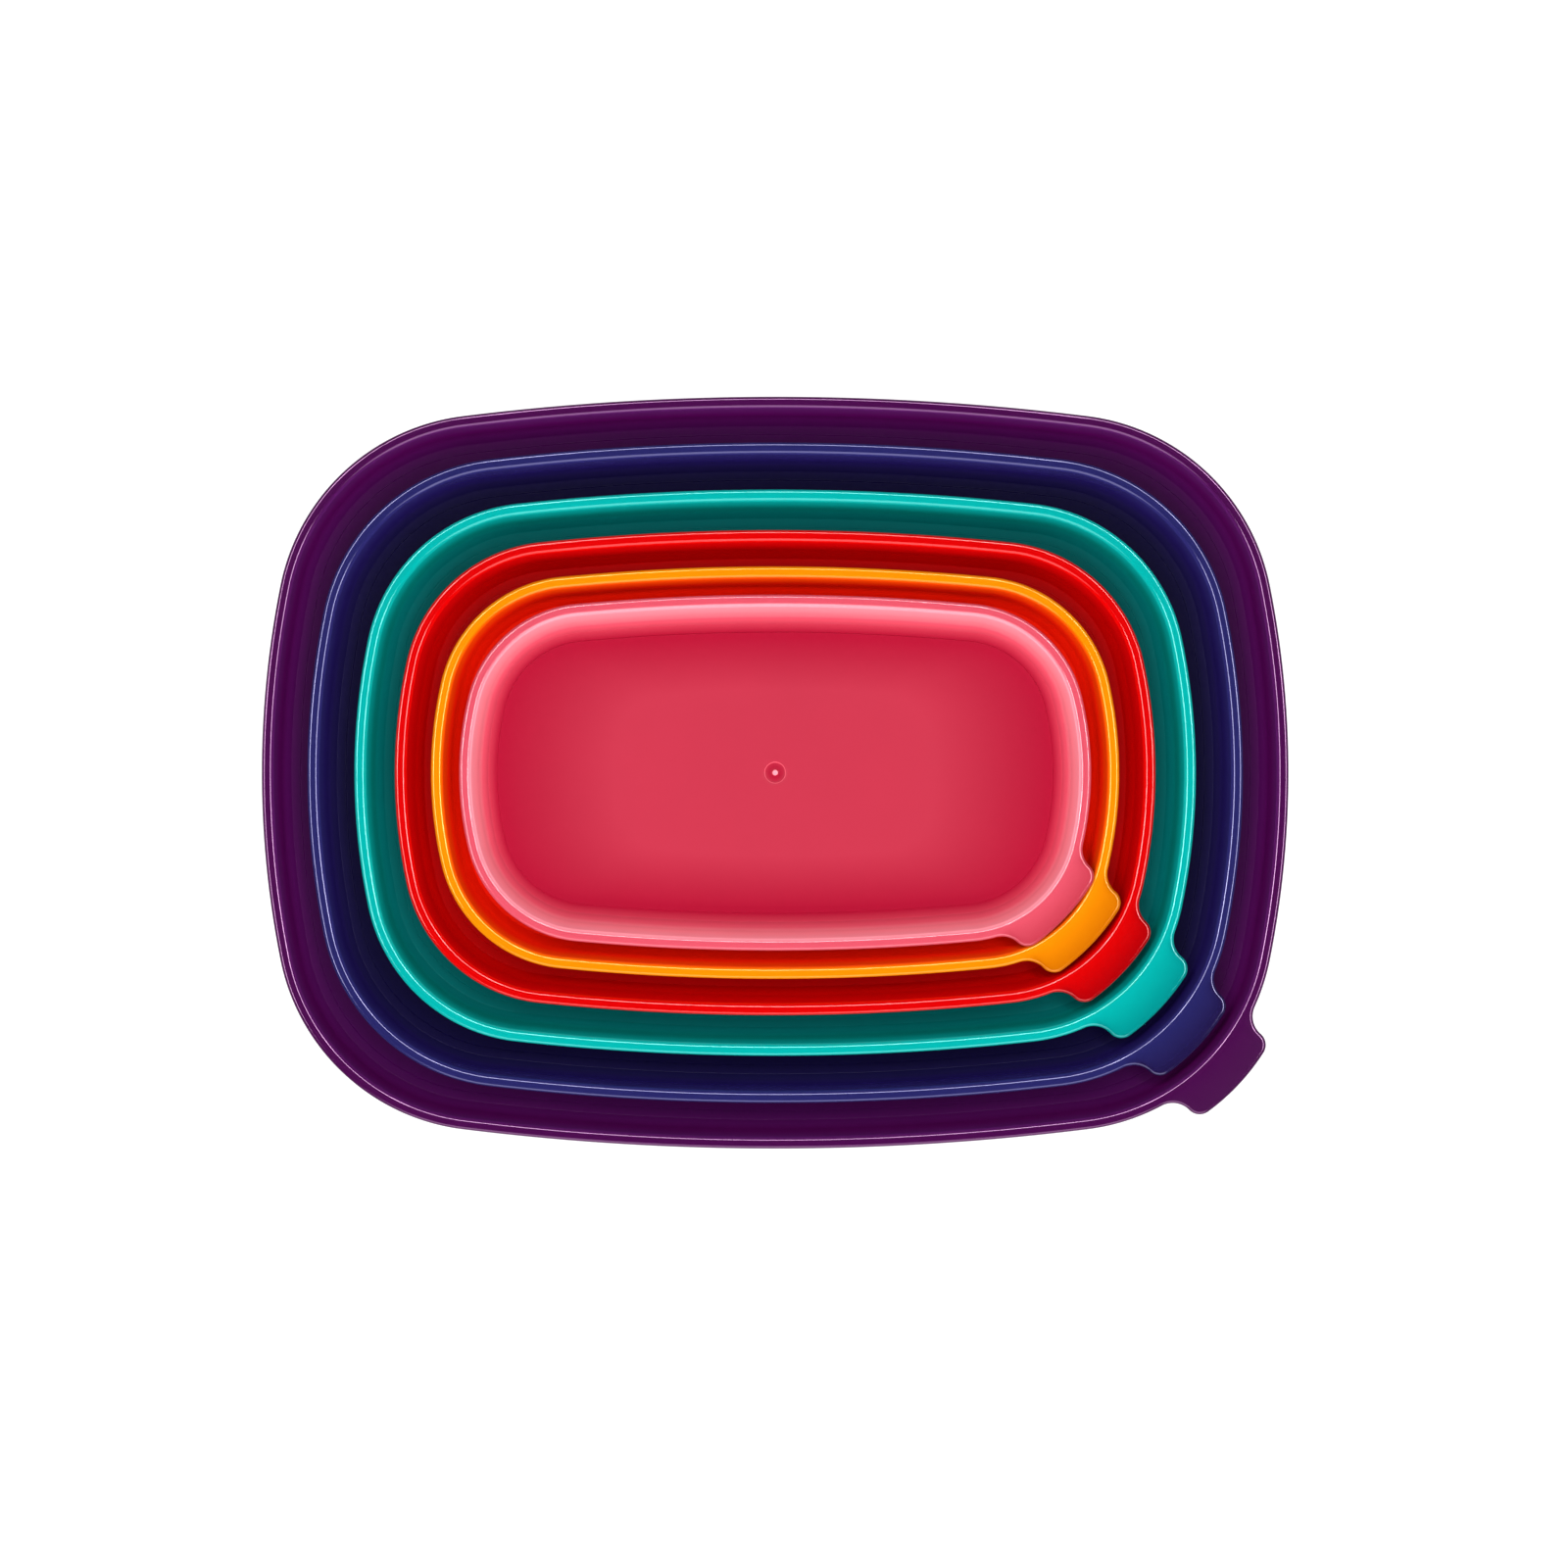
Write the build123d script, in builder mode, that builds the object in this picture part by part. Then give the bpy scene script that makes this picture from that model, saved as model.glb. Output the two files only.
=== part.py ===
from build123d import *
from math import atan2, cos, degrees, hypot, radians, sin, sqrt, tan
import os

# A nesting set of snap lid food containers: six tubs standing one inside the next, the largest
# tub's lid snapped on, and the five smaller lids nested in the recess of the lid below them.
# Millimetres, +Z up. The origin is the middle of the largest tub's foot, +X runs along its length.

# ---------------------------------------------------------------- sizes in the set
COLOURS = ["purple", "navy", "teal", "red", "orange", "pink"]
# How far each lid's outer edge lies inside the largest lid's, all round
INSETS = [0.0, 13.0, 26.4, 37.9, 48.2, 56.2]
# Height of each tub, foot to lip
TUB_HEIGHTS = [80.0, 69.0, 61.0, 54.0, 48.0, 43.0]
# How far each lid's peel tab stands out past its rim
TAB_REACHES = [8.6, 7.8, 8.1, 6.8, 6.8, 5.5]

# ---------------------------------------------------------------- outline of the largest lid
HALF_LENGTH = 145.0
HALF_WIDTH = 106.2
# The sides are bowed; every radius shrinks with the inset, by its own share of it
LONG_SIDE_RADIUS = 715.0
LONG_SIDE_SHARE = 2.05
SHORT_SIDE_RADIUS = 269.0
SHORT_SIDE_SHARE = 3.2
CORNER_RADIUS = 60.0
CORNER_SHARE = 0.4525

# ---------------------------------------------------------------- lid
RIM_THICKNESS = 1.2
RIM_WIDTH = 3.1
RIM_EDGE_RADIUS = 0.9
RIM_INNER_RADIUS = 1.5
SKIRT_HEIGHT = 7.0
SKIRT_THICKNESS = 0.9
SKIRT_EDGE_RADIUS = 0.3
BEAD_HEIGHT = 0.25
BEAD_TOP = 4.9
BEAD_CREST = 5.4
BEAD_BOTTOM = 6.2
# The recess wall leans in from the vertical by this angle, and curves into a sloped cove
RECESS_LEAN = 22.0
RECESS_DEPTH = 8.0
RECESS_RADIUS = 3.5
COVE_SLOPE = 35.0
COVE_WIDTH = 2.1
COVE_RADIUS = 0.4
PANEL_THICKNESS = 1.1
# Inside the recess the panel steps up a little, so a stacked foot or lid sits on flat ground
PANEL_STEP = 0.25
PANEL_STEP_INSET = 10.2
PANEL_STEP_SLOPE = 0.3
PANEL_JOIN_INSET = 13.0

# ---------------------------------------------------------------- peel tab
TAB_ANGLE = -43.2
TAB_HALF_WIDTH = 10.6
TAB_EDGE_RADIUS = 62.0
TAB_CORNER_RADIUS = 4.2
TAB_FLARE_RADIUS = 6.5
TAB_RIB_LENGTH = 16.0
TAB_RIB_WIDTH = 1.0
TAB_RIB_HEIGHT = 0.35

# ---------------------------------------------------------------- tub
TUB_DRAFT = 8.0
LIP_INSET = 1.4
LIP_TOP_WIDTH = 0.54
LIP_HEIGHT = 2.7
LIP_EDGE_RADIUS = 0.22
# Below the lip the wall steps in, which is what the lid's bead snaps under
NECK_INSET = 1.95
NECK_HEIGHT = 3.2
MOUTH_INSET = 2.9
MOUTH_HEIGHT = 1.74
MOUTH_RADIUS = 2.0
FLOOR_THICKNESS = 1.3
FLOOR_RADIUS = 6.0
HEEL_RADIUS = 7.0
FOOT_HEIGHT = 0.6
FOOT_WIDTH = 1.6
FOOT_INSET = 8.0
FOOT_EDGE_RADIUS = 0.2
FLOOR_JOIN = 3.0

# ---------------------------------------------------------------- moulding gate marks
GATE_RADIUS = 3.0
GATE_DEPTH = 0.3
GATE_NUB_RADIUS = 0.8
GATE_NUB_HEIGHT = 0.3

# ---------------------------------------------------------------- clearances between pieces
NEST_GAP = 0.25
LIP_GAP = 0.3


def outline_arcs(inset):
    """Centre, radius, start angle and turn of an outline's eight tangent arcs, anticlockwise."""
    long_radius = LONG_SIDE_RADIUS - LONG_SIDE_SHARE * inset
    short_radius = SHORT_SIDE_RADIUS - SHORT_SIDE_SHARE * inset
    corner_radius = CORNER_RADIUS - CORNER_SHARE * inset
    long_centre = HALF_WIDTH - inset - long_radius
    short_centre = HALF_LENGTH - inset - short_radius
    # The corner's centre is where two circles cross, each about one side's centre
    long_reach = long_radius - corner_radius
    short_reach = short_radius - corner_radius
    span = hypot(short_centre, long_centre)
    along = (long_reach**2 - short_reach**2 + span**2) / (2 * span)
    across = sqrt(long_reach**2 - along**2)
    corner_x = (along * short_centre - across * long_centre) / span
    corner_y = long_centre - (along * long_centre + across * short_centre) / span
    first = degrees(atan2(corner_y, corner_x - short_centre))
    last = degrees(atan2(corner_y - long_centre, corner_x))
    arcs = [((short_centre, 0), short_radius, -first, 2 * first)]
    arcs.append(((corner_x, corner_y), corner_radius, first, last - first))
    arcs.append(((0, long_centre), long_radius, last, 180 - 2 * last))
    arcs.append(((-corner_x, corner_y), corner_radius, 180 - last, last - first))
    arcs.append(((-short_centre, 0), short_radius, 180 - first, 2 * first))
    arcs.append(((-corner_x, -corner_y), corner_radius, 180 + first, last - first))
    arcs.append(((0, -long_centre), long_radius, 180 + last, 180 - 2 * last))
    arcs.append(((corner_x, -corner_y), corner_radius, 360 - last, last - first))
    return arcs


def outline(inset, margin, height=0.0):
    """The face inside one size's outline, drawn a margin inside its edge, at a height."""
    with BuildSketch(Plane.XY.offset(height)) as face:
        with BuildLine():
            for centre, radius, start, turn in outline_arcs(inset):
                CenterArc(centre, radius - margin, start, turn)
        make_face()
    return face.sketch


def carried_round(inset, section, height):
    """A wall section, drawn with the outer edge at x = 0, carried round the eight arcs."""
    with BuildPart() as wall:
        for centre, radius, start, turn in outline_arcs(inset):
            axis = Axis((*centre, 0), (0, 0, 1))
            outward = Vector(cos(radians(start)), sin(radians(start)), 0)
            edge = axis.position + radius * outward + Vector(0, 0, height)
            upright = Plane(origin=edge, x_dir=outward, z_dir=outward.cross(Vector(0, 0, 1)))
            with BuildSketch(upright):
                add(section)
            revolve(axis=axis, revolution_arc=turn)
    return wall.part


def below(point, slope, next_slope):
    """The corner a panel's thickness below a corner between two slopes, in degrees."""
    slope, next_slope = radians(slope), radians(next_slope)
    share = PANEL_THICKNESS / (1 + cos(slope - next_slope))
    across = share * (sin(slope) + sin(next_slope))
    down = share * (cos(slope) + cos(next_slope))
    return (point[0] + across, point[1] - down)


def lid_section():
    """Skirt, rim, recess wall and the panel's border, with the rim's top at zero."""
    lean = tan(radians(RECESS_LEAN))
    cove_top = COVE_WIDTH * tan(radians(COVE_SLOPE)) - RECESS_DEPTH
    wall_foot = (cove_top * lean - RIM_WIDTH, cove_top)
    cove_foot = (wall_foot[0] - COVE_WIDTH, -RECESS_DEPTH)
    underside = RECESS_DEPTH + PANEL_THICKNESS
    channel_inner = RIM_WIDTH - PANEL_THICKNESS / cos(radians(RECESS_LEAN)) + RIM_THICKNESS * lean
    step_end = PANEL_STEP_INSET + PANEL_STEP_SLOPE
    corners = [
        # point, radius
        ((0, 0), 0),
        ((-RIM_WIDTH, 0), RIM_INNER_RADIUS),
        (wall_foot, RECESS_RADIUS),
        (cove_foot, COVE_RADIUS),
        ((-PANEL_STEP_INSET, -RECESS_DEPTH), 0),
        ((-step_end, PANEL_STEP - RECESS_DEPTH), 0),
        ((-PANEL_JOIN_INSET, PANEL_STEP - RECESS_DEPTH), 0),
        ((-PANEL_JOIN_INSET, PANEL_STEP - underside), 0),
        ((-step_end - PANEL_THICKNESS, PANEL_STEP - underside), 0),
        ((-PANEL_STEP_INSET - PANEL_THICKNESS, -underside), 0),
        (below(cove_foot, COVE_SLOPE, 0), COVE_RADIUS + PANEL_THICKNESS),
        (below(wall_foot, 90 - RECESS_LEAN, COVE_SLOPE), RECESS_RADIUS + PANEL_THICKNESS),
        ((-channel_inner, -RIM_THICKNESS), 0.2),
        ((-SKIRT_THICKNESS, -RIM_THICKNESS), 0.2),
        ((-SKIRT_THICKNESS, -BEAD_TOP), 0),
        ((-SKIRT_THICKNESS - BEAD_HEIGHT, -BEAD_CREST), 0.2),
        ((-SKIRT_THICKNESS, -BEAD_BOTTOM), 0),
        ((-SKIRT_THICKNESS, -SKIRT_HEIGHT), SKIRT_EDGE_RADIUS),
        ((0, -SKIRT_HEIGHT), SKIRT_EDGE_RADIUS),
    ]
    with BuildSketch() as section:
        with BuildLine():
            FilletPolyline([p for p, r in corners], radius=[r for p, r in corners], close=True)
        make_face()
    return section.sketch


def tub_section(height):
    """Lip, wall, heel, foot ring and the floor's border, with the foot at zero."""
    draft = tan(radians(TUB_DRAFT))
    floor_top = FOOT_HEIGHT + FLOOR_THICKNESS
    heel = NECK_INSET + (height - NECK_HEIGHT - FOOT_HEIGHT) * draft
    foot = heel + FOOT_INSET
    join = foot + FOOT_WIDTH + FLOOR_JOIN
    corners = [
        # point, radius
        ((-LIP_INSET, height), LIP_EDGE_RADIUS),
        ((-LIP_INSET - LIP_TOP_WIDTH, height), LIP_EDGE_RADIUS),
        ((-MOUTH_INSET, height - MOUTH_HEIGHT), MOUTH_RADIUS),
        ((-MOUTH_INSET - (height - MOUTH_HEIGHT - floor_top) * draft, floor_top), FLOOR_RADIUS),
        ((-join, floor_top), 0),
        ((-join, FOOT_HEIGHT), 0),
        ((-foot - FOOT_WIDTH, FOOT_HEIGHT), 0),
        ((-foot - FOOT_WIDTH, 0), FOOT_EDGE_RADIUS),
        ((-foot, 0), FOOT_EDGE_RADIUS),
        ((-foot, FOOT_HEIGHT), 0),
        ((-heel, FOOT_HEIGHT), HEEL_RADIUS),
        ((-NECK_INSET, height - NECK_HEIGHT), 0),
        ((-LIP_INSET, height - LIP_HEIGHT), 0),
    ]
    with BuildSketch() as section:
        with BuildLine():
            FilletPolyline([p for p, r in corners], radius=[r for p, r in corners], close=True)
        make_face()
    return section.sketch, join


def tab_frame(inset, height=0.0):
    """The corner's centre, with X pointing out through the middle of the peel tab."""
    (corner_x, corner_y), radius, start, turn = outline_arcs(inset)[7]
    outward = (cos(radians(TAB_ANGLE)), sin(radians(TAB_ANGLE)), 0)
    return Plane(origin=(corner_x, corner_y, height), x_dir=outward, z_dir=(0, 0, 1)), radius


def tab_face(inset, reach):
    """The peel tab: a bowed edge, two round corners, and flares that run into the rim."""
    plane, radius = tab_frame(inset)
    edge_centre = radius + reach - TAB_EDGE_RADIUS
    edge_reach = TAB_EDGE_RADIUS - TAB_CORNER_RADIUS
    corner = Vector(edge_centre + sqrt(edge_reach**2 - TAB_HALF_WIDTH**2), TAB_HALF_WIDTH)
    # The flare touches the rim's circle and the corner's, so its centre is where two circles cross
    rim_reach = radius + TAB_FLARE_RADIUS
    corner_reach = TAB_CORNER_RADIUS + TAB_FLARE_RADIUS
    along = (rim_reach**2 - corner_reach**2 + corner.length**2) / (2 * corner.length)
    across = sqrt(rim_reach**2 - along**2)
    toward = corner.normalized()
    flare = Vector(along * toward.X - across * toward.Y, along * toward.Y + across * toward.X)
    edge_angle = degrees(atan2(TAB_HALF_WIDTH, corner.X - edge_centre))
    corner_angle = degrees(atan2(flare.Y - corner.Y, flare.X - corner.X))
    flare_angle = degrees(atan2(flare.Y, flare.X))
    with BuildSketch(plane) as face:
        with BuildLine():
            CenterArc((edge_centre, 0), TAB_EDGE_RADIUS, 0, edge_angle)
            CenterArc(corner, TAB_CORNER_RADIUS, edge_angle, corner_angle - edge_angle)
            sweep_back = flare_angle - corner_angle
            side = CenterArc(flare, TAB_FLARE_RADIUS, corner_angle + 180, sweep_back)
            foot = side @ 1
            Line(foot, (foot.X, 0))
            mirror(about=Plane.XZ)
        make_face()
    return face.sketch


def make_lid(inset, reach, rim_top):
    """One lid: channel rim with skirt and snap bead, recess, stepped panel, peel tab."""
    panel_top = rim_top - RECESS_DEPTH + PANEL_STEP
    with BuildPart() as lid:
        add(carried_round(inset, lid_section(), rim_top))
        with BuildSketch(Plane.XY.offset(panel_top)):
            add(outline(inset, PANEL_JOIN_INSET))
        extrude(amount=-PANEL_THICKNESS)
        with BuildSketch(Plane.XY.offset(rim_top)):
            add(outline(inset, 0))
            add(tab_face(inset, reach))
            add(outline(inset, SKIRT_THICKNESS / 2), mode=Mode.SUBTRACT)
        extrude(amount=-RIM_THICKNESS)
        fillet(lid.faces().sort_by(Axis.Z)[-1].outer_wire().edges(), radius=RIM_EDGE_RADIUS)
        ribs, radius = tab_frame(inset, rim_top - RIM_THICKNESS)
        with BuildSketch(ribs):
            with Locations((radius + 0.3 * reach, 0), (radius + 0.68 * reach, 0)):
                SlotOverall(TAB_RIB_LENGTH, TAB_RIB_WIDTH, rotation=90)
        extrude(amount=-TAB_RIB_HEIGHT)
        with BuildSketch(Plane.XY.offset(panel_top)):
            Circle(GATE_RADIUS)
            Circle(GATE_NUB_RADIUS, mode=Mode.SUBTRACT)
        extrude(amount=-GATE_DEPTH, mode=Mode.SUBTRACT)
    return lid.part


def make_tub(inset, height, base):
    """One tub: snap lip, drafted wall, rounded heel, floor, foot ring, gate mark below."""
    section, join = tub_section(height)
    underside = base + FOOT_HEIGHT
    with BuildPart() as tub:
        add(carried_round(inset, section, base))
        with BuildSketch(Plane.XY.offset(underside)):
            add(outline(inset, join))
        extrude(amount=FLOOR_THICKNESS)
        with BuildSketch(Plane.XY.offset(underside)):
            Circle(GATE_RADIUS)
            Circle(GATE_NUB_RADIUS, mode=Mode.SUBTRACT)
        extrude(amount=GATE_DEPTH, mode=Mode.SUBTRACT)
    return tub.part


tub_rise = FOOT_HEIGHT + FLOOR_THICKNESS + NEST_GAP
lid_rise = PANEL_THICKNESS + PANEL_STEP + NEST_GAP
lowest_rim = TUB_HEIGHTS[0] + RIM_THICKNESS + LIP_GAP

os.makedirs("parts", exist_ok=True)
for level, colour in enumerate(COLOURS):
    tub = make_tub(INSETS[level], TUB_HEIGHTS[level], level * tub_rise)
    tub.label = f"tub_{colour}"
    export_step(tub, f"parts/{tub.label}.step")
    lid = make_lid(INSETS[level], TAB_REACHES[level], lowest_rim + level * lid_rise)
    lid.label = f"lid_{colour}"
    export_step(lid, f"parts/{lid.label}.step")
    print(f"{colour}: tub top {level * tub_rise + TUB_HEIGHTS[level]:.2f},"
          f" rim top {lowest_rim + level * lid_rise:.2f}")
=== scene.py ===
"""Looks for a nesting set of snap lid food containers.

Six glossy tubs stand one inside the next, the largest lid is snapped on and the five smaller lids
nest on top. Every lid and tub is modelled afresh as one closed shell: a wall section, drawn as a
chain of rounded corners, is carried round an outline of eight tangent arcs. Lengths here are in
millimetres until a mesh is made.
"""

from math import atan2, cos, hypot, pi, radians, sin, sqrt, tan

import bpy
import numpy as np
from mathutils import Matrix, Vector


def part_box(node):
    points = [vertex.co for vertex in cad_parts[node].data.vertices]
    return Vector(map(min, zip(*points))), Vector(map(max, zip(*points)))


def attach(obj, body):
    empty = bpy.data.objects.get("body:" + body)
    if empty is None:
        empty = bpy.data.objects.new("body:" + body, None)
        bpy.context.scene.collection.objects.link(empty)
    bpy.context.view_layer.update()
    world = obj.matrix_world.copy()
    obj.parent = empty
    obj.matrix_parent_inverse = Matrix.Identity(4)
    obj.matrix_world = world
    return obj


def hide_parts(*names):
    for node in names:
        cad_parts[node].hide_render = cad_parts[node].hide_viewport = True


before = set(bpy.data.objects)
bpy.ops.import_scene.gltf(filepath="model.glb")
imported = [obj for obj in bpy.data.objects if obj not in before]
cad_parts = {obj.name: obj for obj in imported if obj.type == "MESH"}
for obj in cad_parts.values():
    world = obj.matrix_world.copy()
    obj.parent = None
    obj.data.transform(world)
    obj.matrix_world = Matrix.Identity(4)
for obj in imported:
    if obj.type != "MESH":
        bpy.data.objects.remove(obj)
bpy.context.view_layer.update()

MM = 0.001

# ------------------------------------------------------------------ the set, largest first
COLOURS = ["purple", "navy", "teal", "red", "orange", "pink"]
INSETS = [0.0, 13.0, 26.4, 37.9, 48.2, 56.2]
TAB_REACHES = [8.6, 7.8, 8.1, 6.8, 6.8, 5.5]

# The plastic's colours with painted light and shade: the peel tab, painted darker as shade; the rim,
# the plastic's own colour; three steps down the recess wall, painted light near its top and painted
# shade, deeper in hue, lower down; and the thin floor, painted darker still, as shade in the recess and
# as the darker stack below seen through it
TONES_AND_PAINTED_LIGHT = {
    "purple": [(49, 11, 50), (49, 5, 50), (68, 18, 74), (62, 3, 60), (49, 5, 51), (37, 2, 42)],
    "navy": [(19, 11, 48), (25, 24, 70), (34, 29, 83), (24, 15, 68), (15, 10, 43), (5, 3, 28)],
    "teal": [(0, 103, 101), (1, 129, 124), (2, 137, 131), (1, 94, 88), (1, 68, 67), (0, 60, 60)],
    "red": [(125, 0, 3), (160, 1, 2), (181, 1, 3), (156, 1, 2), (125, 1, 1), (120, 0, 1)],
    "orange": [(155, 81, 1), (181, 103, 2), (200, 59, 2), (192, 20, 2), (183, 15, 2), (189, 13, 2)],
    "pink": [
        (146, 42, 56), (166, 59, 74), (227, 137, 149), (223, 117, 129), (176, 60, 76), (127, 10, 34),
    ],
}
# Depth says where in a piece a point lies, from 0 on a tab to 1 in the middle of a panel; it picks
# the colour from the tones above, with their painted light and shade
TAB_DEPTH, RIM_DEPTH, TUB_DEPTH, FLOOR_DEPTH = 0.0, 0.06, 0.12, 0.8
TONE_DEPTHS = [TAB_DEPTH, RIM_DEPTH, 0.16, 0.32, 0.5, FLOOR_DEPTH]
# Painted shade: past TONE_START the colour darkens down the recess over TONE_SPREAD, the tab's tone is
# painted darker than the rim's, and MIDDLE_LIFT brings a panel's middle back from the floor's shade
TONE_START, TONE_SPREAD = 2.4, 6.6  # the inset where a recess starts to deepen, and over how much
TAB_FADE = 2.0  # how far past the rim the colour is wholly the tab's
MIDDLE_LIFT = 0.35  # how far the middle of a panel goes from the floor's colour back to the rim's
# The hue of the plastic's highlights
SHINES = {
    "purple": (255, 196, 250),
    "navy": (215, 212, 255),
    "teal": (180, 255, 252),
    "red": (255, 190, 188),
    "orange": (255, 225, 150),
    "pink": (255, 222, 226),
}
LID_POLISH, TUB_POLISH, RECESS_POLISH = 0.9, 0.35, 0.06
RIM_ROUGHNESS, RECESS_ROUGHNESS, GRAIN_ROUGHNESS = 0.05, 0.2, 0.08
SATIN_DEPTHS = (0.1, 0.4)  # the depths between which the polished rim turns into the satin recess
CLOUD_SCALE, CLOUD_RANGE = 22, (0.94, 1.06)  # soft patches, and how much they shade the colour
GRAIN_SCALE = 900
RIPPLE_STRENGTH, RIPPLE_DISTANCE = 0.12, 0.0004

# ------------------------------------------------------------------ outline family
HALF_LENGTH, HALF_WIDTH = 145.0, 106.2
LONG_SIDE_RADIUS, LONG_SIDE_SHARE = 715.0, 2.05
SHORT_SIDE_RADIUS, SHORT_SIDE_SHARE = 269.0, 3.2
CORNER_RADIUS, CORNER_SHARE = 60.0, 0.4525
TAB_ARC = 7  # the arc, in outline_arcs, of the corner that carries the tab
SIDE_STEP, CORNER_STEP, TAB_STEP = 4.0, 1.6, 0.45

# ------------------------------------------------------------------ lid section
RIM_THICKNESS, RIM_WIDTH = 1.2, 3.1
RIM_EDGE_RADIUS, RIM_EDGE_STEPS, RIM_INNER_RADIUS = 0.9, 8, 1.5
SKIRT_HEIGHT, SKIRT_THICKNESS = 7.0, 0.9
BEAD_HEIGHT, BEAD_TOP, BEAD_CREST, BEAD_BOTTOM = 0.25, 4.9, 5.4, 6.2
RECESS_LEAN, RECESS_DEPTH, RECESS_RADIUS = 22.0, 8.0, 3.5
COVE_SLOPE, COVE_WIDTH, COVE_RADIUS = 35.0, 2.1, 0.4
PANEL_THICKNESS = 1.1
PANEL_STEP, PANEL_STEP_INSET, PANEL_STEP_SLOPE = 0.25, 10.2, 0.3

# ------------------------------------------------------------------ peel tab
TAB_ANGLE, TAB_HALF_WIDTH = -43.2, 10.6
TAB_EDGE_RADIUS, TAB_CORNER_RADIUS, TAB_FLARE_RADIUS = 62.0, 4.2, 6.5
TAB_FOOT = 0.12  # how far below the rim's underside the tab parts from the skirt
# Rows of the lid's section that ease into the tab and out of it, each with its share of the tab:
# the underside by height above that foot, and the top by inset
TAB_UNDERSIDE = [
    (-0.12, 0), (0, 0), (0.02, 0.06), (0.06, 0.5), (0.12, 0.955), (0.17, 0.985), (0.24, 1),
]
TAB_TOPSIDE = [(0.96, 1), (1.3, 0.45), (1.7, 0.05)]
RIB_LENGTH, RIB_WIDTH, RIB_HEIGHT = 16.0, 1.0, 0.35
RIB_SHARES = (0.3, 0.68)  # where the ribs lie on the tab's reach
RIB_POINTS, RIB_RINGS, RIB_CREST = 32, 8, 0.02

# ------------------------------------------------------------------ tub section
TUB_DRAFT = 8.0
LIP_INSET, LIP_TOP_WIDTH, LIP_HEIGHT = 1.4, 0.54, 2.7
NECK_INSET, NECK_HEIGHT = 1.95, 3.2
MOUTH_INSET, MOUTH_HEIGHT = 2.9, 1.74
FLOOR_THICKNESS, FLOOR_RADIUS, HEEL_RADIUS = 1.3, 6.0, 7.0
FOOT_HEIGHT, FOOT_WIDTH, FOOT_INSET = 0.6, 1.6, 8.0

# ------------------------------------------------------------------ middles of the panels
GATE_RADIUS, GATE_DEPTH, GATE_NUB_RADIUS = 3.0, 0.3, 0.8
NUB_CROWN = 0.01  # how much higher the nub's middle point is than the ring round it
# The depth on each ring of a gate mark, in to its nub, which is thicker; the mark's edge and its nub
# are paler than the floor round them. The floor's painted shade eases off towards the middle
GATE_DEPTHS = [1, 1, 0.42, 0.5, 0.9, 0.8, 0.8, 0.45, 0.34, 0.32]
FILL_DEPTHS = [0.86, 0.93, 1, 1, 1, 1]  # and on each ring between the section and the mark
PLAIN_MIDDLE = [(4, 0), (1.5, 0)]  # the innermost rings of a panel without a mark

# ------------------------------------------------------------------ floor, lights and camera
# The paper and the lights are in metres, and the camera in millimetres like the set
PAPER_HALF, PAPER_GREY, PAPER_GLOW = 4.0, 0.2, 0.9
WORLD_GLOW = 0.01
LIGHT_DISTANCE, LIGHT_TARGET = 1.8, (0, 0, 0.08)
RING_TILT, RING_WIDTH = 24, 0.5
FRAME_WIDTH, CAMERA_AIM, CAMERA_DISTANCE = 442.5, (2.5, -3.2), 1500.0


# ------------------------------------------------------------------ outlines
def outline_arcs(inset):
    """Centre, radius, start angle and turn (radians) of the eight arcs, anticlockwise from +X."""
    long_radius = LONG_SIDE_RADIUS - LONG_SIDE_SHARE * inset
    short_radius = SHORT_SIDE_RADIUS - SHORT_SIDE_SHARE * inset
    corner_radius = CORNER_RADIUS - CORNER_SHARE * inset
    long_y = HALF_WIDTH - inset - long_radius
    short_x = HALF_LENGTH - inset - short_radius
    span = hypot(short_x, long_y)
    long_reach, short_reach = long_radius - corner_radius, short_radius - corner_radius
    along = (long_reach**2 - short_reach**2 + span**2) / (2 * span)
    across = sqrt(long_reach**2 - along**2)
    x = (along * short_x - across * long_y) / span
    y = long_y - (along * long_y + across * short_x) / span
    first, last = atan2(y, x - short_x), atan2(y - long_y, x)
    return [
        ((short_x, 0), short_radius, -first, 2 * first),
        ((x, y), corner_radius, first, last - first),
        ((0, long_y), long_radius, last, pi - 2 * last),
        ((-x, y), corner_radius, pi - last, last - first),
        ((-short_x, 0), short_radius, pi - first, 2 * first),
        ((-x, -y), corner_radius, pi + first, last - first),
        ((0, -long_y), long_radius, pi + last, pi - 2 * last),
        ((x, -y), corner_radius, 2 * pi - last, last - first),
    ]


def directions(angles):
    """A unit vector in the plan for each of these angles."""
    return np.stack([np.cos(angles), np.sin(angles)], axis=1)


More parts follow.
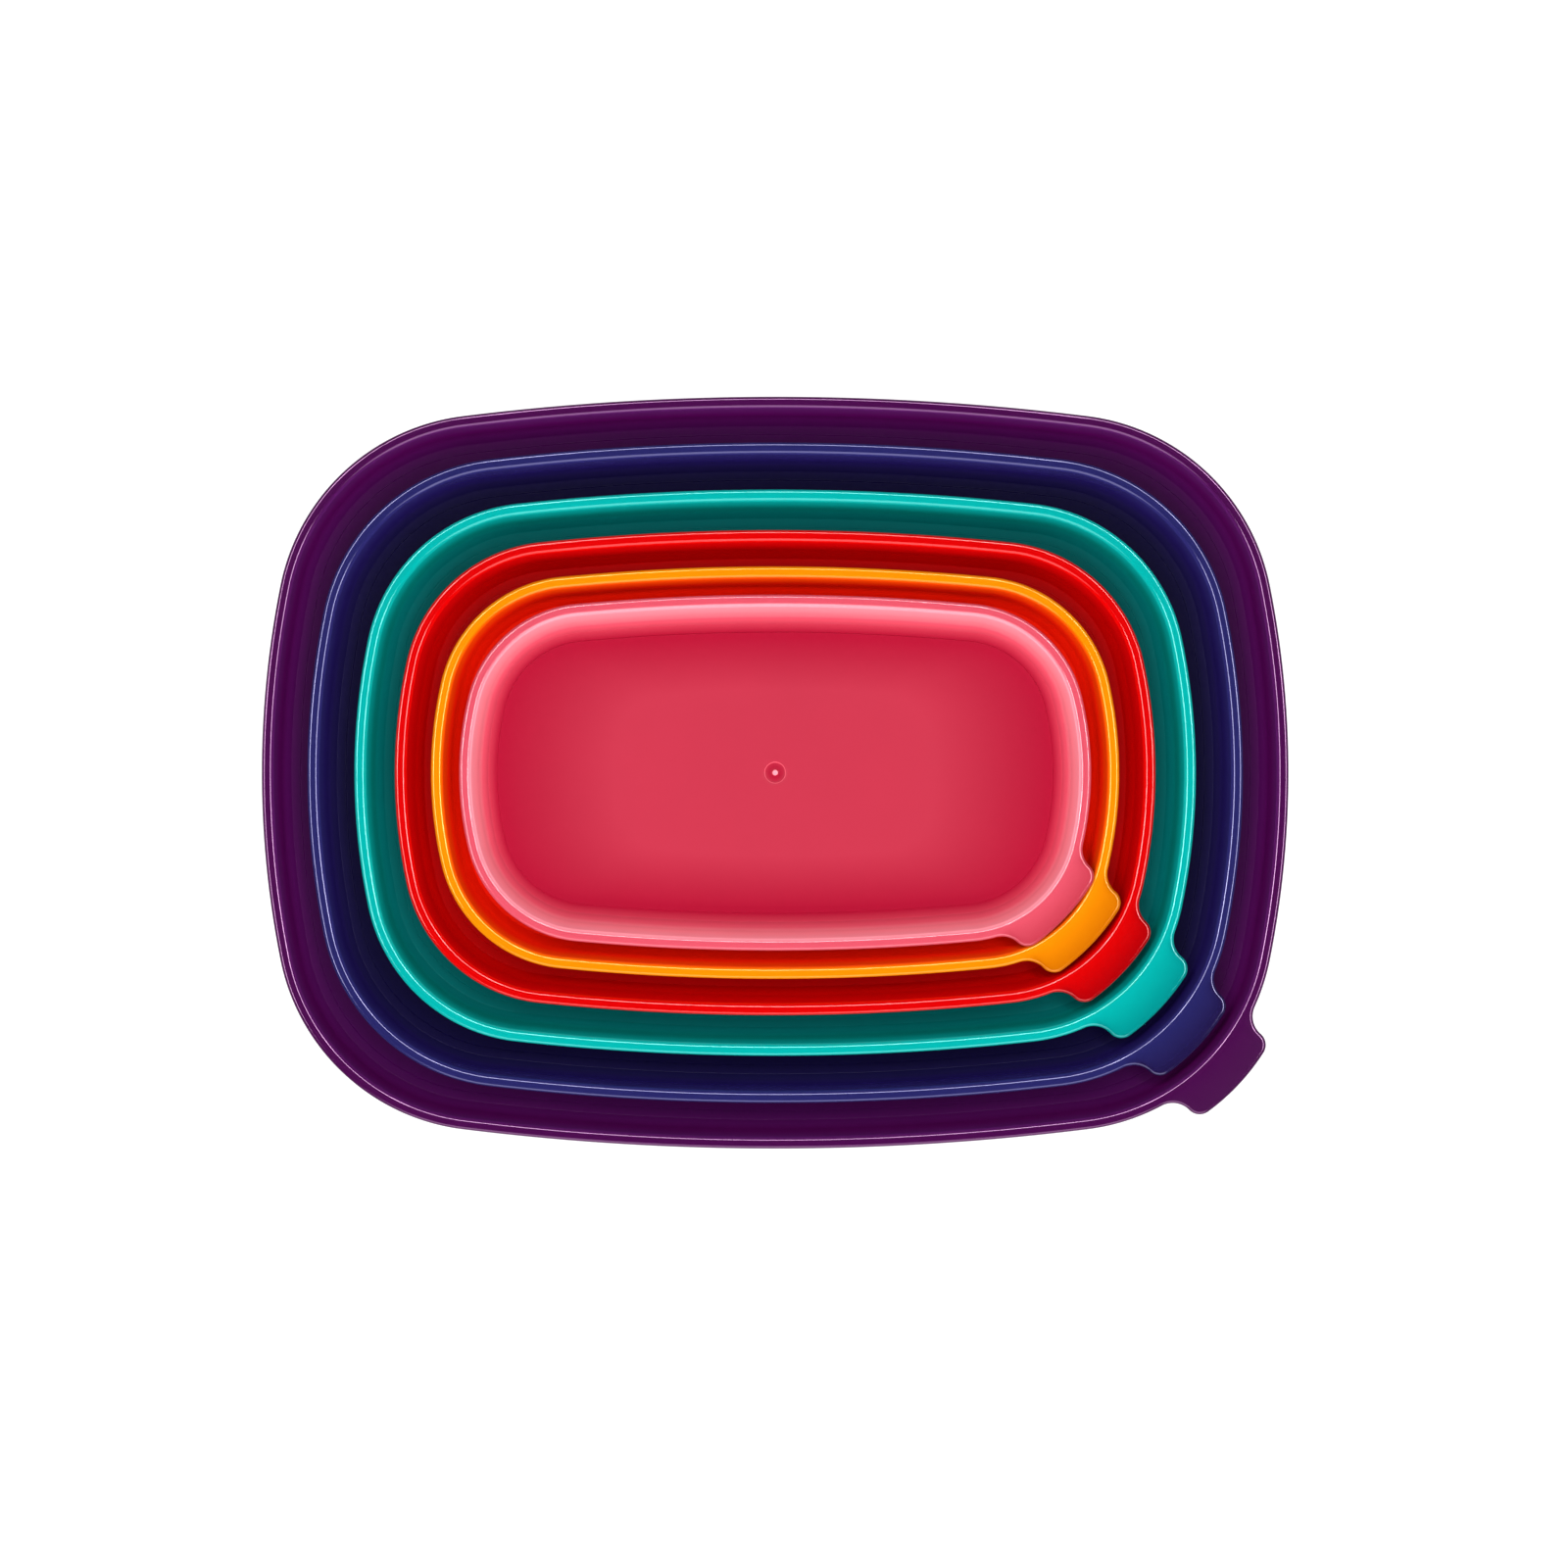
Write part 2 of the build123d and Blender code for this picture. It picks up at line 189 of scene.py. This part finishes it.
def tab_arcs(inset, reach):
    """Half of the tab's outline as arcs about the corner's centre, and the angle where it ends."""
    radius = outline_arcs(inset)[TAB_ARC][1]
    edge_x = radius + reach - TAB_EDGE_RADIUS
    edge_reach = TAB_EDGE_RADIUS - TAB_CORNER_RADIUS
    corner = Vector((edge_x + sqrt(edge_reach**2 - TAB_HALF_WIDTH**2), TAB_HALF_WIDTH))
    rim_reach = radius + TAB_FLARE_RADIUS
    corner_reach = TAB_CORNER_RADIUS + TAB_FLARE_RADIUS
    along = (rim_reach**2 - corner_reach**2 + corner.length**2) / (2 * corner.length)
    across = sqrt(rim_reach**2 - along**2)
    toward = corner.normalized()
    flare = Vector((along * toward.x - across * toward.y, along * toward.y + across * toward.x))
    edge_angle = atan2(corner.y, corner.x - edge_x)
    corner_angle = atan2(flare.y - corner.y, flare.x - corner.x)
    flare_angle = atan2(flare.y, flare.x)
    half = [
        ((edge_x, 0), TAB_EDGE_RADIUS, 0, edge_angle, 1),
        (tuple(corner), TAB_CORNER_RADIUS, edge_angle, corner_angle, 1),
        (tuple(flare), TAB_FLARE_RADIUS, corner_angle + pi, flare_angle + pi, -1),
    ]
    return half, flare_angle


def arc_points(centre, radius, start, turn, step):
    """Points and outward normals along one arc, without its last point."""
    count = max(4, round(abs(turn) * radius / step))
    normals = directions(start + turn * np.arange(count) / count)
    return np.array(centre) + radius * normals, normals


def tab_points(inset, reach):
    """Points and normals along the tab, from its clockwise end to its other end, and half its angle."""
    half, flare_angle = tab_arcs(inset, reach)
    points, normals = [], []
    for centre, radius, start, end, side in half:
        count = max(6, round(abs(end - start) * radius / TAB_STEP))
        out = directions(np.linspace(start, end, count + 1)[1:])
        points.append(np.array(centre) + radius * out)
        normals.append(side * out)
    points, normals = np.concatenate(points), np.concatenate(normals)
    middle = [(half[0][0][0] + TAB_EDGE_RADIUS, 0)]
    flip = np.array([1, -1])
    points = np.concatenate([points[::-1] * flip, middle, points])
    normals = np.concatenate([normals[::-1] * flip, [(1, 0)], normals])
    centre = outline_arcs(inset)[TAB_ARC][0]
    a = radians(TAB_ANGLE)
    turned = np.array([[cos(a), sin(a)], [-sin(a), cos(a)]])
    return points @ turned + np.array(centre), normals @ turned, flare_angle


def plain_outline(inset):
    """Points and outward normals of the outline without a tab, from the middle of the -X side."""
    points, normals = [], []
    for number, (centre, radius, start, turn) in enumerate(outline_arcs(inset)):
        step = CORNER_STEP if number % 2 else SIDE_STEP
        arc, arc_normals = arc_points(centre, radius, start, turn, step)
        points.append(arc)
        normals.append(arc_normals)
    points, normals = np.concatenate(points), np.concatenate(normals)
    half = len(points) // 2
    return np.roll(points, half, axis=0), np.roll(normals, half, axis=0)


def lid_outline(inset, reach):
    """Matching loops of points and normals: the plain outline, and the same with the tab.

    Along the tab both loops have as many points, spread evenly over the rim and over the tab."""
    tab, tab_normals, half_angle = tab_points(inset, reach)
    points, normals = plain_outline(inset)
    centre, radius = outline_arcs(inset)[TAB_ARC][:2]
    spokes = points - np.array(centre)
    away = np.abs(np.arctan2(spokes[:, 1], spokes[:, 0]) - radians(TAB_ANGLE))
    beside_tab = np.flatnonzero(away < half_angle + TAB_STEP / radius)
    first, last = beside_tab[0], beside_tab[-1] + 1
    under_normals = directions(radians(TAB_ANGLE) + np.linspace(-half_angle, half_angle, len(tab)))
    under = np.array(centre) + radius * under_normals
    loops = [(points, under), (normals, under_normals), (points, tab), (normals, tab_normals)]
    return [np.concatenate([loop[:first], part, loop[last:]]) for loop, part in loops]


# ------------------------------------------------------------------ wall sections
HOLD = 0.12  # how far past a rounded corner the extra point sits that keeps its shading local
HOLD_ROOM = 4 * HOLD  # how much straight wall there has to be for that point
ARC_STEP_ANGLE, ARC_STEP_LENGTH = 9, 0.6  # the steps along a rounded corner


def rounded(corners):
    """A chain of (inset, height, radius) corners with each corner turned into an arc."""
    chain = [corners[0][:2]]
    for before, (x, z, radius), after in zip(corners, corners[1:-1], corners[2:]):
        if radius == 0:
            chain.append((x, z))
            continue
        here = Vector((x, z))
        back = Vector(before[:2]) - here
        on = Vector(after[:2]) - here
        turn = pi - back.angle(on)
        reach = radius * tan(turn / 2)
        start, end = here + back.normalized() * reach, here + on.normalized() * reach
        centre = here + (back.normalized() + on.normalized()).normalized() * (radius / cos(turn / 2))
        first = start - centre
        first_angle = atan2(first.y, first.x)
        side = 1 if first.cross(end - centre) > 0 else -1
        count = max(3, round(turn / radians(ARC_STEP_ANGLE)), round(turn * radius / ARC_STEP_LENGTH))
        if back.length > reach + HOLD_ROOM:
            chain.append(tuple(start + back.normalized() * HOLD))
        for k in range(count + 1):
            a = first_angle + side * turn * (k / count)
            chain.append((centre.x + radius * cos(a), centre.y + radius * sin(a)))
        if on.length > reach + HOLD_ROOM:
            chain.append(tuple(end + on.normalized() * HOLD))
    chain.append(corners[-1][:2])
    return chain


def below(point, slope, next_slope):
    """The corner a panel's thickness below a corner between two slopes, in degrees."""
    slope, next_slope = radians(slope), radians(next_slope)
    share = PANEL_THICKNESS / (1 + cos(slope - next_slope))
    across = share * (sin(slope) + sin(next_slope))
    down = share * (cos(slope) + cos(next_slope))
    return point[0] - across, point[1] - down


def recess_feet():
    """The foot of the recess wall and the foot of the cove below it, as (inset, height)."""
    cove_top = COVE_WIDTH * tan(radians(COVE_SLOPE)) - RECESS_DEPTH
    wall_foot = (RIM_WIDTH - cove_top * tan(radians(RECESS_LEAN)), cove_top)
    return wall_foot, (wall_foot[0] + COVE_WIDTH, -RECESS_DEPTH)


def lid_underside():
    """The lid's section from the panel's underside, through the channel, to the skirt's outside."""
    wall_foot, cove_foot = recess_feet()
    underside = -RECESS_DEPTH - PANEL_THICKNESS
    lean = radians(RECESS_LEAN)
    channel_inner = RIM_WIDTH - PANEL_THICKNESS / cos(lean) + RIM_THICKNESS * tan(lean)
    step_end = PANEL_STEP_INSET + PANEL_STEP_SLOPE
    return rounded([
        (step_end + 3, PANEL_STEP + underside, 0),
        (step_end + PANEL_THICKNESS, PANEL_STEP + underside, 0.3),
        (PANEL_STEP_INSET + PANEL_THICKNESS, underside, 0.3),
        (*below(cove_foot, COVE_SLOPE, 0), COVE_RADIUS + PANEL_THICKNESS),
        (*below(wall_foot, 90 - RECESS_LEAN, COVE_SLOPE), RECESS_RADIUS + PANEL_THICKNESS),
        (channel_inner, -RIM_THICKNESS, 0.2),
        (SKIRT_THICKNESS, -RIM_THICKNESS, 0.2),
        (SKIRT_THICKNESS, -BEAD_TOP, 0.2),
        (SKIRT_THICKNESS + BEAD_HEIGHT, -BEAD_CREST, 0.2),
        (SKIRT_THICKNESS, -BEAD_BOTTOM, 0.15),
        (SKIRT_THICKNESS, -SKIRT_HEIGHT, 0.3),
        (0, -SKIRT_HEIGHT, 0.3),
        (0, -4, 0),
    ])


def lid_recess():
    """The lid's section from the flat of the rim, down the recess, to the panel's top."""
    wall_foot, cove_foot = recess_feet()
    step_end = PANEL_STEP_INSET + PANEL_STEP_SLOPE
    return rounded([
        (1.9, 0, 0),
        (RIM_WIDTH, 0, RIM_INNER_RADIUS),
        (*wall_foot, RECESS_RADIUS),
        (*cove_foot, COVE_RADIUS),
        (PANEL_STEP_INSET, -RECESS_DEPTH, 0.1),
        (step_end, PANEL_STEP - RECESS_DEPTH, 0.1),
        (step_end + 1.2, PANEL_STEP - RECESS_DEPTH, 0),
    ])


def lid_rows():
    """The lid's section as (inset, height, share of the tab) rows, panel underside to panel top."""
    tab_foot = RIM_THICKNESS + TAB_FOOT
    rows = [(s, z, 0) for s, z in lid_underside()]
    rows += [(0, rise - tab_foot, share) for rise, share in TAB_UNDERSIDE]
    rows += [(0, -RIM_EDGE_RADIUS - 0.08, 1)]
    for k in range(RIM_EDGE_STEPS + 1):
        a = pi / 2 * k / RIM_EDGE_STEPS
        rows.append((RIM_EDGE_RADIUS * (1 - cos(a)), RIM_EDGE_RADIUS * (sin(a) - 1), 1))
    rows += [(s, 0, share) for s, share in TAB_TOPSIDE]
    return rows + [(s, z, 0) for s, z in lid_recess()]


def tub_rows(height):
    """The tub's section as (inset, height) rows, from the underside, up outside, down inside."""
    draft = tan(radians(TUB_DRAFT))
    floor_top = FOOT_HEIGHT + FLOOR_THICKNESS
    heel = NECK_INSET + (height - NECK_HEIGHT - FOOT_HEIGHT) * draft
    foot = heel + FOOT_INSET
    inner_heel = MOUTH_INSET + (height - MOUTH_HEIGHT - floor_top) * draft
    middle = height / 2
    wall_out = NECK_INSET + (height - NECK_HEIGHT - middle) * draft
    wall_in = MOUTH_INSET + (height - MOUTH_HEIGHT - middle) * draft
    return rounded([
        (foot + FOOT_WIDTH + 3, FOOT_HEIGHT, 0),
        (foot + FOOT_WIDTH, FOOT_HEIGHT, 0.15),
        (foot + FOOT_WIDTH, 0, 0.2),
        (foot, 0, 0.2),
        (foot, FOOT_HEIGHT, 0.15),
        (heel, FOOT_HEIGHT, HEEL_RADIUS),
        (wall_out, middle, 0),
        (NECK_INSET, height - NECK_HEIGHT, 0.3),
        (LIP_INSET, height - LIP_HEIGHT, 0.15),
        (LIP_INSET, height, 0.22),
        (LIP_INSET + LIP_TOP_WIDTH, height, 0.22),
        (MOUTH_INSET, height - MOUTH_HEIGHT, 2.0),
        (wall_in, middle, 0),
        (inner_heel, floor_top, FLOOR_RADIUS),
        (inner_heel + 9, floor_top, 0),
    ])


# ------------------------------------------------------------------ meshes
def at_height(ring, height):
    """A plan ring as points at this height."""
    return np.column_stack([ring, np.full(len(ring), height)])


def gate_rings(side):
    """A moulding gate mark as (radius, rise) rings, outside in: a round dimple round a small nub.

    The side is 1 in a face that looks up and -1 in one that looks down."""
    deep = GATE_DEPTH * side
    edge, nub = GATE_RADIUS, GATE_NUB_RADIUS
    return [
        (edge + 1.2, 0),
        (edge + 0.15, 0),
        (edge, -0.15 * deep),
        (edge - 0.12, -0.8 * deep),
        (edge - 0.3, -deep),
        (nub + 0.25, -deep),
        (nub + 0.08, -0.8 * deep),
        (nub, -0.2 * deep),
        (nub - 0.15, 0.02 * deep),
        (nub / 2, 0.08 * deep),
    ]


def panel_fill(last_ring, rings):
    """Rings that close a panel: the section's last ring eases into a circle, then come the rings."""
    count, height = len(last_ring), last_ring[0, 2]
    first_angle = atan2(last_ring[0, 1], last_ring[0, 0])
    spokes = directions(first_angle + 2 * pi * np.arange(count) / count)
    circle = spokes * rings[0][0]
    made = []
    for k in range(1, len(FILL_DEPTHS) + 1):
        share = k / (len(FILL_DEPTHS) + 1)
        made.append(at_height(last_ring[:, :2] * (1 - share) + circle * share, height))
    for radius, rise in rings:
        made.append(at_height(spokes * radius, height + rise))
    return made


def shell(name, rings, ends, depths):
    """A closed mesh from rings of equal length; each end closes on a middle point.

    Every ring has a depth, or one for each of its points, which the plastic reads."""
    count = len(rings[0])
    vertices = np.concatenate(rings + [np.array(ends)]) * MM
    k = np.arange(count)
    after = (k + 1) % count
    faces = []
    for row in range(len(rings) - 1):
        a, b = row * count, (row + 1) * count
        faces += np.stack([a + k, a + after, b + after, b + k], axis=1).tolist()
    low, high = len(rings) * count, len(rings) * count + 1
    top = (len(rings) - 1) * count
    faces += np.stack([np.full(count, low), after, k], axis=1).tolist()
    faces += np.stack([top + k, top + after, np.full(count, high)], axis=1).tolist()
    mesh = bpy.data.meshes.new(name)
    mesh.from_pydata(vertices.tolist(), [], faces)
    mesh.polygons.foreach_set("use_smooth", [True] * len(mesh.polygons))
    mesh.update()
    depth = mesh.attributes.new("depth", "FLOAT", "POINT")
    values = [np.broadcast_to(d, count) for d in depths] + [depths[0], depths[-1]]
    depth.data.foreach_set("value", np.hstack(values).tolist())
    piece = bpy.data.objects.new(name, mesh)
    bpy.context.scene.collection.objects.link(piece)
    return piece


def make_lid(colour, inset, reach, rim_top):
    """One lid as a closed shell."""
    plain, plain_normals, tabbed, tabbed_normals = lid_outline(inset, reach)
    on_tab = np.clip(np.linalg.norm(tabbed - plain, axis=1) / TAB_FADE, 0, 1)
    rings, depths = [], []
    for s, z, share in lid_rows():
        # The depth that picks the colour: painted shade grows down the recess and under the panel, and
        # the tab takes its darker painted tone
        in_recess = (s > TONE_START and z < 0) or z < -SKIRT_HEIGHT
        way_down = min(1, (s - TONE_START) / TONE_SPREAD) if in_recess else 0
        depths.append(RIM_DEPTH * (1 - on_tab * share) + (FLOOR_DEPTH - RIM_DEPTH) * way_down)
        ring = (plain - s * plain_normals) * (1 - share) + (tabbed - s * tabbed_normals) * share
        rings.append(at_height(ring, rim_top + z))
    under, over = panel_fill(rings[0], PLAIN_MIDDLE), panel_fill(rings[-1], gate_rings(1))
    rings = under[::-1] + rings + over
    depths = [1] * len(under) + depths + FILL_DEPTHS + GATE_DEPTHS
    ends = [(0, 0, rings[0][0, 2]), (0, 0, rings[-1][0, 2] + NUB_CROWN)]
    return shell(f"{colour}_lid", rings, ends, depths)


def make_tub(colour, inset, height, base):
    """One tub as a closed shell."""
    outline, normals = plain_outline(inset)
    rings, depths = [], []
    for s, z in tub_rows(height):
        # Lower down the tub its colour moves partway to the recess wall's painted-light tone
        depths.append(RIM_DEPTH + (TUB_DEPTH - RIM_DEPTH) * (1 - z / height))
        rings.append(at_height(outline - s * normals, base + z))
    under, over = panel_fill(rings[0], gate_rings(-1)), panel_fill(rings[-1], PLAIN_MIDDLE)
    rings = under[::-1] + rings + over
    depths = [TUB_DEPTH] * len(under) + depths + [TUB_DEPTH] * len(over)
    ends = [(0, 0, rings[0][0, 2] - NUB_CROWN), (0, 0, rings[-1][0, 2])]
    return shell(f"{colour}_tub", rings, ends, depths)


def make_ribs(colour, inset, reach, underside):
    """The two rounded grip bars under a peel tab, as closed shells."""
    centre, radius = outline_arcs(inset)[TAB_ARC][:2]
    a = radians(TAB_ANGLE)
    outward, along = np.array([cos(a), sin(a)]), np.array([-sin(a), cos(a)])
    half_width, straight = RIB_WIDTH / 2, (RIB_LENGTH - RIB_WIDTH) / 2
    k = np.arange(RIB_POINTS)
    spokes = directions(k * 2 * pi / RIB_POINTS) @ np.array([outward, along])
    ends = np.where(k < RIB_POINTS / 2, 1, -1)[:, None] * straight * along
    for number, share in enumerate(RIB_SHARES):
        middle = np.array(centre) + (radius + share * reach) * outward
        rings = []
        for swing in np.linspace(0, pi / 2, RIB_RINGS):
            width = half_width * (cos(swing) * (1 - RIB_CREST) + RIB_CREST)
            rings.append(at_height(middle + ends + spokes * width, underside - RIB_HEIGHT * sin(swing)))
        tips = [(*middle, underside - RIB_HEIGHT), (*middle, underside)]
        # The ribs take the tab's darker painted-shade tone
        yield shell(f"{colour}_tab_rib_{number + 1}", rings[::-1], tips, [TAB_DEPTH] * RIB_RINGS)


# ------------------------------------------------------------------ materials
def linear(srgb):
    """Linear colour from 0 to 255 screen values."""
    return tuple(((v / 255 + 0.055) / 1.055) ** 2.4 if v > 10 else v / 255 / 12.92 for v in srgb) + (1,)


def set_inputs(node, values):
    """Set a node's inputs by name."""
    for name, value in values.items():
        node.inputs[name].default_value = value


def noise(tree, scale, detail):
    """Noise that stays with the piece."""
    place = tree.nodes.new("ShaderNodeTexCoord")
    node = tree.nodes.new("ShaderNodeTexNoise")
    set_inputs(node, {"Scale": scale, "Detail": detail})
    tree.links.new(place.outputs["Object"], node.inputs["Vector"])
    return node.outputs[0]


def ranged(tree, value, old, new):
    """A value carried from its old range to a new one, and held inside it."""
    node = tree.nodes.new("ShaderNodeMapRange")
    set_inputs(node, {"From Min": old[0], "From Max": old[1], "To Min": new[0], "To Max": new[1]})
    tree.links.new(value, node.inputs["Value"])
    return node.outputs[0]


def tone_and_painted_light_ramp(tree, depth, tones_and_painted_light):
    """The plastic's colour at each depth, with painted light up the recess wall and painted shade below
    it.
    """
    ramp = tree.nodes.new("ShaderNodeValToRGB")
    stops = ramp.color_ramp.elements
    for at in TONE_DEPTHS[1:]:
        stops.new(at)
    rim, floor = linear(tones_and_painted_light[1]), linear(tones_and_painted_light[-1])
    middle = [f + MIDDLE_LIFT * (r - f) for r, f in zip(rim, floor)]
    for stop, at, tone in zip(stops, [*TONE_DEPTHS, 1.0], [*map(linear, tones_and_painted_light), middle]):
        stop.position, stop.color = at, tone
    tree.links.new(depth, ramp.inputs[0])
    return ramp.outputs[0]


def multiplied(tree, colour, shade):
    """A colour times a shade."""
    tint = tree.nodes.new("ShaderNodeMix")
    tint.data_type, tint.blend_type = "RGBA", "MULTIPLY"
    tint.inputs[0].default_value = 1
    tree.links.new(colour, tint.inputs[6])
    tree.links.new(shade, tint.inputs[7])
    return tint.outputs[2]


def grained(tree, roughness):
    """A roughness with a fine grain added."""
    rough = tree.nodes.new("ShaderNodeMath")
    rough.operation = "MULTIPLY_ADD"
    rough.inputs[1].default_value = GRAIN_ROUGHNESS
    tree.links.new(noise(tree, GRAIN_SCALE, 2), rough.inputs[0])
    tree.links.new(roughness, rough.inputs[2])
    return rough.outputs[0]


def plastic(name, tones_and_painted_light, shine, polish):
    """Moulded plastic with a polished rim and a satin recess; its colour has painted light on the upper
    recess wall and painted shade lower down and on the tab.
    """
    material = bpy.data.materials.new(name)
    material.use_nodes = True
    tree = material.node_tree
    shader = tree.nodes["Principled BSDF"]
    set_inputs(shader, {"IOR": 1.49, "Specular Tint": linear(shine), "Subsurface Weight": 0.12})
    set_inputs(shader, {"Subsurface Scale": 0.002, "Subsurface Radius": (1, 1, 1)})
    attribute = tree.nodes.new("ShaderNodeAttribute")
    attribute.attribute_name = "depth"
    depth = attribute.outputs["Fac"]
    cloud = noise(tree, CLOUD_SCALE, 3)
    colour = multiplied(tree, tone_and_painted_light_ramp(tree, depth, tones_and_painted_light), ranged(tree, cloud, (0, 1), CLOUD_RANGE))
    satin = ranged(tree, depth, SATIN_DEPTHS, (RIM_ROUGHNESS, RECESS_ROUGHNESS))
    gloss = ranged(tree, depth, SATIN_DEPTHS, (polish, RECESS_POLISH))
    ripple = tree.nodes.new("ShaderNodeBump")
    set_inputs(ripple, {"Strength": RIPPLE_STRENGTH, "Distance": RIPPLE_DISTANCE})
    tree.links.new(cloud, ripple.inputs["Height"])
    tree.links.new(colour, shader.inputs["Base Color"])
    tree.links.new(grained(tree, satin), shader.inputs["Roughness"])
    tree.links.new(gloss, shader.inputs["Specular IOR Level"])
    tree.links.new(ripple.outputs[0], shader.inputs["Normal"])
    return material


# ------------------------------------------------------------------ the set
def add_lid(colour, inset, reach):
    """A lid and the grip ribs under its tab, where the CAD lid is."""
    rim_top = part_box(f"lid_{colour}")[1][2] / MM
    lid = make_lid(colour, inset, reach, rim_top)
    finish = plastic(f"{colour}_lid_plastic", TONES_AND_PAINTED_LIGHT[colour], SHINES[colour], LID_POLISH)
    lid.data.materials.append(finish)
    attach(lid, f"lid_{colour}")
    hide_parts(f"lid_{colour}")
    for rib in make_ribs(colour, inset, reach, rim_top - RIM_THICKNESS):
        rib.data.materials.append(finish)
        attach(rib, f"lid_{colour}")


def add_tub(colour, inset):
    """A tub, where the CAD tub is."""
    low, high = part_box(f"tub_{colour}")
    base, height = low[2] / MM, (high[2] - low[2]) / MM
    tub = make_tub(colour, inset, height, base)
    finish = plastic(f"{colour}_tub_plastic", TONES_AND_PAINTED_LIGHT[colour], SHINES[colour], TUB_POLISH)
    tub.data.materials.append(finish)
    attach(tub, f"tub_{colour}")
    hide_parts(f"tub_{colour}")


# ------------------------------------------------------------------ floor, light and camera
def make_floor():
    """White paper that glows a little, so that it stays white under the lights."""
    x = PAPER_HALF
    mesh = bpy.data.meshes.new("floor")
    mesh.from_pydata([(-x, -x, 0), (x, -x, 0), (x, x, 0), (-x, x, 0)], [], [(0, 1, 2, 3)])
    floor = bpy.data.objects.new("floor", mesh)
    bpy.context.scene.collection.objects.link(floor)
    material = bpy.data.materials.new("floor_paper")
    material.use_nodes = True
    shader = material.node_tree.nodes["Principled BSDF"]
    set_inputs(shader, {"Base Color": (PAPER_GREY, PAPER_GREY, PAPER_GREY, 1), "Roughness": 0.9})
    set_inputs(shader, {"Specular IOR Level": 0, "Emission Color": (1, 1, 1, 1)})
    set_inputs(shader, {"Emission Strength": PAPER_GLOW})
    mesh.materials.append(material)


def soft_light(name, azimuth, tilt, size, power):
    """A rectangular light, tilt degrees off the vertical, towards azimuth (0 is +X, 90 is +Y)."""
    light = bpy.data.lights.new(name, "AREA")
    light.shape = "RECTANGLE"
    light.size, light.size_y = size
    light.energy = power
    holder = bpy.data.objects.new(name, light)
    a, t = radians(azimuth), radians(tilt)
    away = Vector((cos(a) * sin(t), sin(a) * sin(t), cos(t)))
    holder.location = Vector(LIGHT_TARGET) + away * LIGHT_DISTANCE
    holder.rotation_euler = away.to_track_quat("Z", "Y").to_euler()
    holder.visible_camera = False
    bpy.context.scene.collection.objects.link(holder)
    return holder


def make_lights():
    """A ring of narrow lights draws the rims' highlights; broad ones fill in from the near side."""
    for azimuth, depth, power in [(-9, 0.4, 8.6), (24, 0.36, 8), (156, 0.36, 8), (189, 0.4, 8.6)]:
        soft_light(f"side_light_{azimuth}", azimuth, RING_TILT, (RING_WIDTH, depth), power)
    for azimuth in (57, 90, 123):
        soft_light(f"far_light_{azimuth}", azimuth, RING_TILT, (RING_WIDTH, 0.28), 7.6)
    soft_light("near_light", 270, 48, (1.6, 1.5), 20)
    fill = soft_light("near_fill", 270, 38, (1.6, 1.2), 33)
    fill.visible_glossy = False


def make_world():
    """A barely lit white surrounding."""
    world = bpy.data.worlds.new("studio")
    world.use_nodes = True
    background = world.node_tree.nodes["Background"]
    set_inputs(background, {"Color": (1, 1, 1, 1), "Strength": WORLD_GLOW})
    bpy.context.scene.world = world


def make_camera():
    """Straight above the set; the picture is FRAME_WIDTH wide at the rims."""
    camera = bpy.data.cameras.new("camera")
    camera.sensor_width = 36
    camera.lens = camera.sensor_width * CAMERA_DISTANCE / FRAME_WIDTH
    camera.clip_end = 20
    holder = bpy.data.objects.new("camera", camera)
    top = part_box("lid_purple")[1][2]
    holder.location = (CAMERA_AIM[0] * MM, CAMERA_AIM[1] * MM, top + CAMERA_DISTANCE * MM)
    bpy.context.scene.collection.objects.link(holder)
    bpy.context.scene.camera = holder


# ------------------------------------------------------------------ the whole scene
for colour, inset, reach in zip(COLOURS, INSETS, TAB_REACHES):
    add_lid(colour, inset, reach)
    add_tub(colour, inset)
make_floor()
make_lights()
make_world()
bpy.context.scene.view_settings.view_transform = "Standard"
make_camera()
